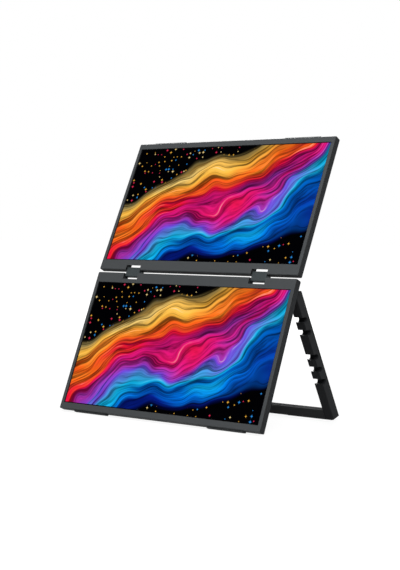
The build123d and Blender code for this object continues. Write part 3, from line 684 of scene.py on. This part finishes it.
def make_hinge_block(side, material):
    """Hinge block with a deep round back, in the place of the plainer solid."""
    node = f"{side}_hinge_block"
    axes = {joint["name"]: joint.get("pos_m") for joint in frame["joints"]}
    up = (Vector(axes["upper_fold"]) - Vector(axes["lower_fold"])).normalized()
    right = Vector((1, 0, 0))
    front = right.cross(up)
    places = [
        [axis.dot(vertex.co) for axis in (right, up, front)] for vertex in nodes[node].data.vertices
    ]
    least = [min(values) for values in zip(*places)]
    most = [max(values) for values in zip(*places)]
    work = bmesh.new()
    outline = block_outline(least[1] + block_lift, most[1], least[2], most[2])
    end = work.faces.new([
        work.verts.new(right * least[0] + up * rise + front * forward) for forward, rise in outline
    ])
    grown = bmesh.ops.extrude_face_region(work, geom=[end])["geom"]
    moved = [item for item in grown if isinstance(item, bmesh.types.BMVert)]
    bmesh.ops.translate(work, verts=moved, vec=right * (most[0] - least[0]))
    bmesh.ops.recalc_face_normals(work, faces=work.faces)
    ends = [face for face in work.faces if abs(face.normal.x) > end_facing]
    round_edges(work, list({edge for face in ends for edge in face.edges}), block_edge)
    block = new_piece(f"{side}_block_shell", work, material, "hinge_link")
    block.data.polygons.foreach_set("use_smooth", [True] * len(block.data.polygons))
    block.modifiers.new("creases", "EDGE_SPLIT").split_angle = crease_angle
    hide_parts(node)


def make_floor():
    """Pale floor that keeps the object's shadow and fades to white round it."""
    mesh = bpy.data.meshes.new("floor")
    half = floor_size / 2
    level = cad_box[0].z - floor_sink
    corners = [(-half, -half), (half, -half), (half, half), (-half, half)]
    mesh.from_pydata([(x, y, level) for x, y in corners], [], [(0, 1, 2, 3)])
    floor = bpy.data.objects.new("floor", mesh)
    scene.collection.objects.link(floor)
    n = new_material("floor_white")
    x, y, _ = n.parts(n.place())
    away = n.math("SQRT", n.plus(n.times(x, x), n.times(y, y)))
    glow = n.smooth(away, *white_radius, floor_glow, 1.0)
    diffuse = n.add("BsdfDiffuse", {"Color": floor_colour})
    lit = n.add("Emission", {"Color": white, "Strength": n.times(n.seen(), glow)})
    mesh.materials.append(n.show(n.add("AddShader", {0: diffuse.outputs[0], 1: lit.outputs[0]})))


def make_world():
    """White surroundings, whose light comes mostly from the front, the right and above."""
    scene.world = bpy.data.worlds.new("studio")
    n = Nodes(scene.world, "World")
    towards = n.reach(n.add("TexCoord").outputs["Generated"], sky_towards.normalized())
    sky = n.smooth(towards, *sky_turn, *sky_light)
    strength = n.add("Mix", {0: n.seen(), 2: sky, 3: 1.0}).outputs[0]
    n.show(n.add("Background", {"Color": white, "Strength": strength}))


def make_lamp(name, place, size, power):
    data = bpy.data.lights.new(name, "AREA")
    data.shape = "DISK"
    data.size = size
    data.energy = power
    lamp = bpy.data.objects.new(name, data)
    scene.collection.objects.link(lamp)
    lamp.location = place
    lamp.rotation_mode = "QUATERNION"
    lamp.rotation_quaternion = (lamp_target - place).to_track_quat("-Z", "Y")


def make_camera():
    data = bpy.data.cameras.new("camera")
    data.sensor_fit = "HORIZONTAL"
    data.sensor_width = sensor_width
    data.lens = focal_pixels * sensor_width / image_width
    data.clip_start, data.clip_end = camera_clip
    camera = bpy.data.objects.new("camera", data)
    scene.collection.objects.link(camera)
    ahead = Vector((
        -math.sin(camera_yaw) * math.cos(camera_pitch),
        math.cos(camera_yaw) * math.cos(camera_pitch),
        -math.sin(camera_pitch),
    ))
    level = ahead.cross(Vector((0, 0, 1))).normalized()
    upright = level.cross(ahead)
    right = level * math.cos(camera_roll) + upright * math.sin(camera_roll)
    up = upright * math.cos(camera_roll) - level * math.sin(camera_roll)
    turn = Matrix((right, up, -ahead)).transposed()
    camera.matrix_world = Matrix.Translation(camera_place) @ turn.to_4x4()
    scene.camera = camera


pad_rubber = rubber("pad_rubber", srgb(72, 75, 76))
black_rubber = rubber("black_rubber", srgb(22, 22, 23))
frame_plastic = moulded_plastic(
    "frame_plastic", srgb(40, 41, 43), grain=0.4, roughness=0.55, gloss=0.06
)
# The cross bar's plastic is the frame plastic painted lighter: painted light for the light its
# front doesn't get from the lamps
bar_plastic_painted_light = moulded_plastic(
    "bar_plastic_painted_light", srgb(60, 61, 62), grain=0.4, roughness=0.55, gloss=0.06
)
block_plastic = moulded_plastic(
    "block_plastic", srgb(66, 73, 75), grain=0.35, roughness=0.5, gloss=0.2
)
button_plastic = moulded_plastic(
    "button_plastic", srgb(34, 35, 36), grain=0.3, roughness=0.45, gloss=0.3
)
dark_steel = rolled_steel("dark_steel", srgb(96, 98, 102), roughness=0.38)
bright_steel = rolled_steel("bright_steel", srgb(190, 192, 196), roughness=0.3)
board_film = coloured_sheet("board_film", srgb(24, 92, 52), roughness=0.4)
ribbon_film = coloured_sheet("ribbon_film", srgb(196, 120, 40), roughness=0.35)
white_film = coloured_sheet("white_film", srgb(226, 226, 222), roughness=0.4)
screen_light = picture("screen_light")

# Finishes by the last words of a node's name, the longest of which counts. The display
# cells have none, because the screens replace them.
finishes = {
    "backlight_unit": white_film,
    "driver_board": board_film,
    "display_ribbon": ribbon_film,
    "usb_c_ports": bright_steel,
    "mini_hdmi_port": bright_steel,
    "button_switches": button_plastic,
    "button": button_plastic,
    "edge_pads": pad_rubber,
    "foot_pads": black_rubber,
    "hinge_block": block_plastic,
    "hinge_bracket": bright_steel,
    "stand_bracket": frame_plastic,
    "stand_arm": frame_plastic,
    "cross_bar": bar_plastic_painted_light,
    "screws": dark_steel,
    "pin": dark_steel,
    "hinge_washers": bright_steel,
    "hinge_nuts": bright_steel,
}
for side in sides:
    finishes[f"{side}_front_bezel"] = bezel_plastic(side)
    finishes[f"{side}_rear_cover"] = cover_plastic(side)

for name, node in nodes.items():
    endings = [ending for ending in finishes if name.endswith(ending)]
    if endings:
        node.data.materials.clear()
        node.data.materials.append(finishes[max(endings, key=len)])

for side in sides:
    make_screen(side, screen_light)
    make_gasket(side, black_rubber)
for side in ("left", "right"):
    make_hinge_block(side, block_plastic)

make_floor()
make_world()
make_camera()
for name, (place, size, power) in lamps.items():
    make_lamp(name, place, size, power)

scene.view_settings.view_transform = "Standard"
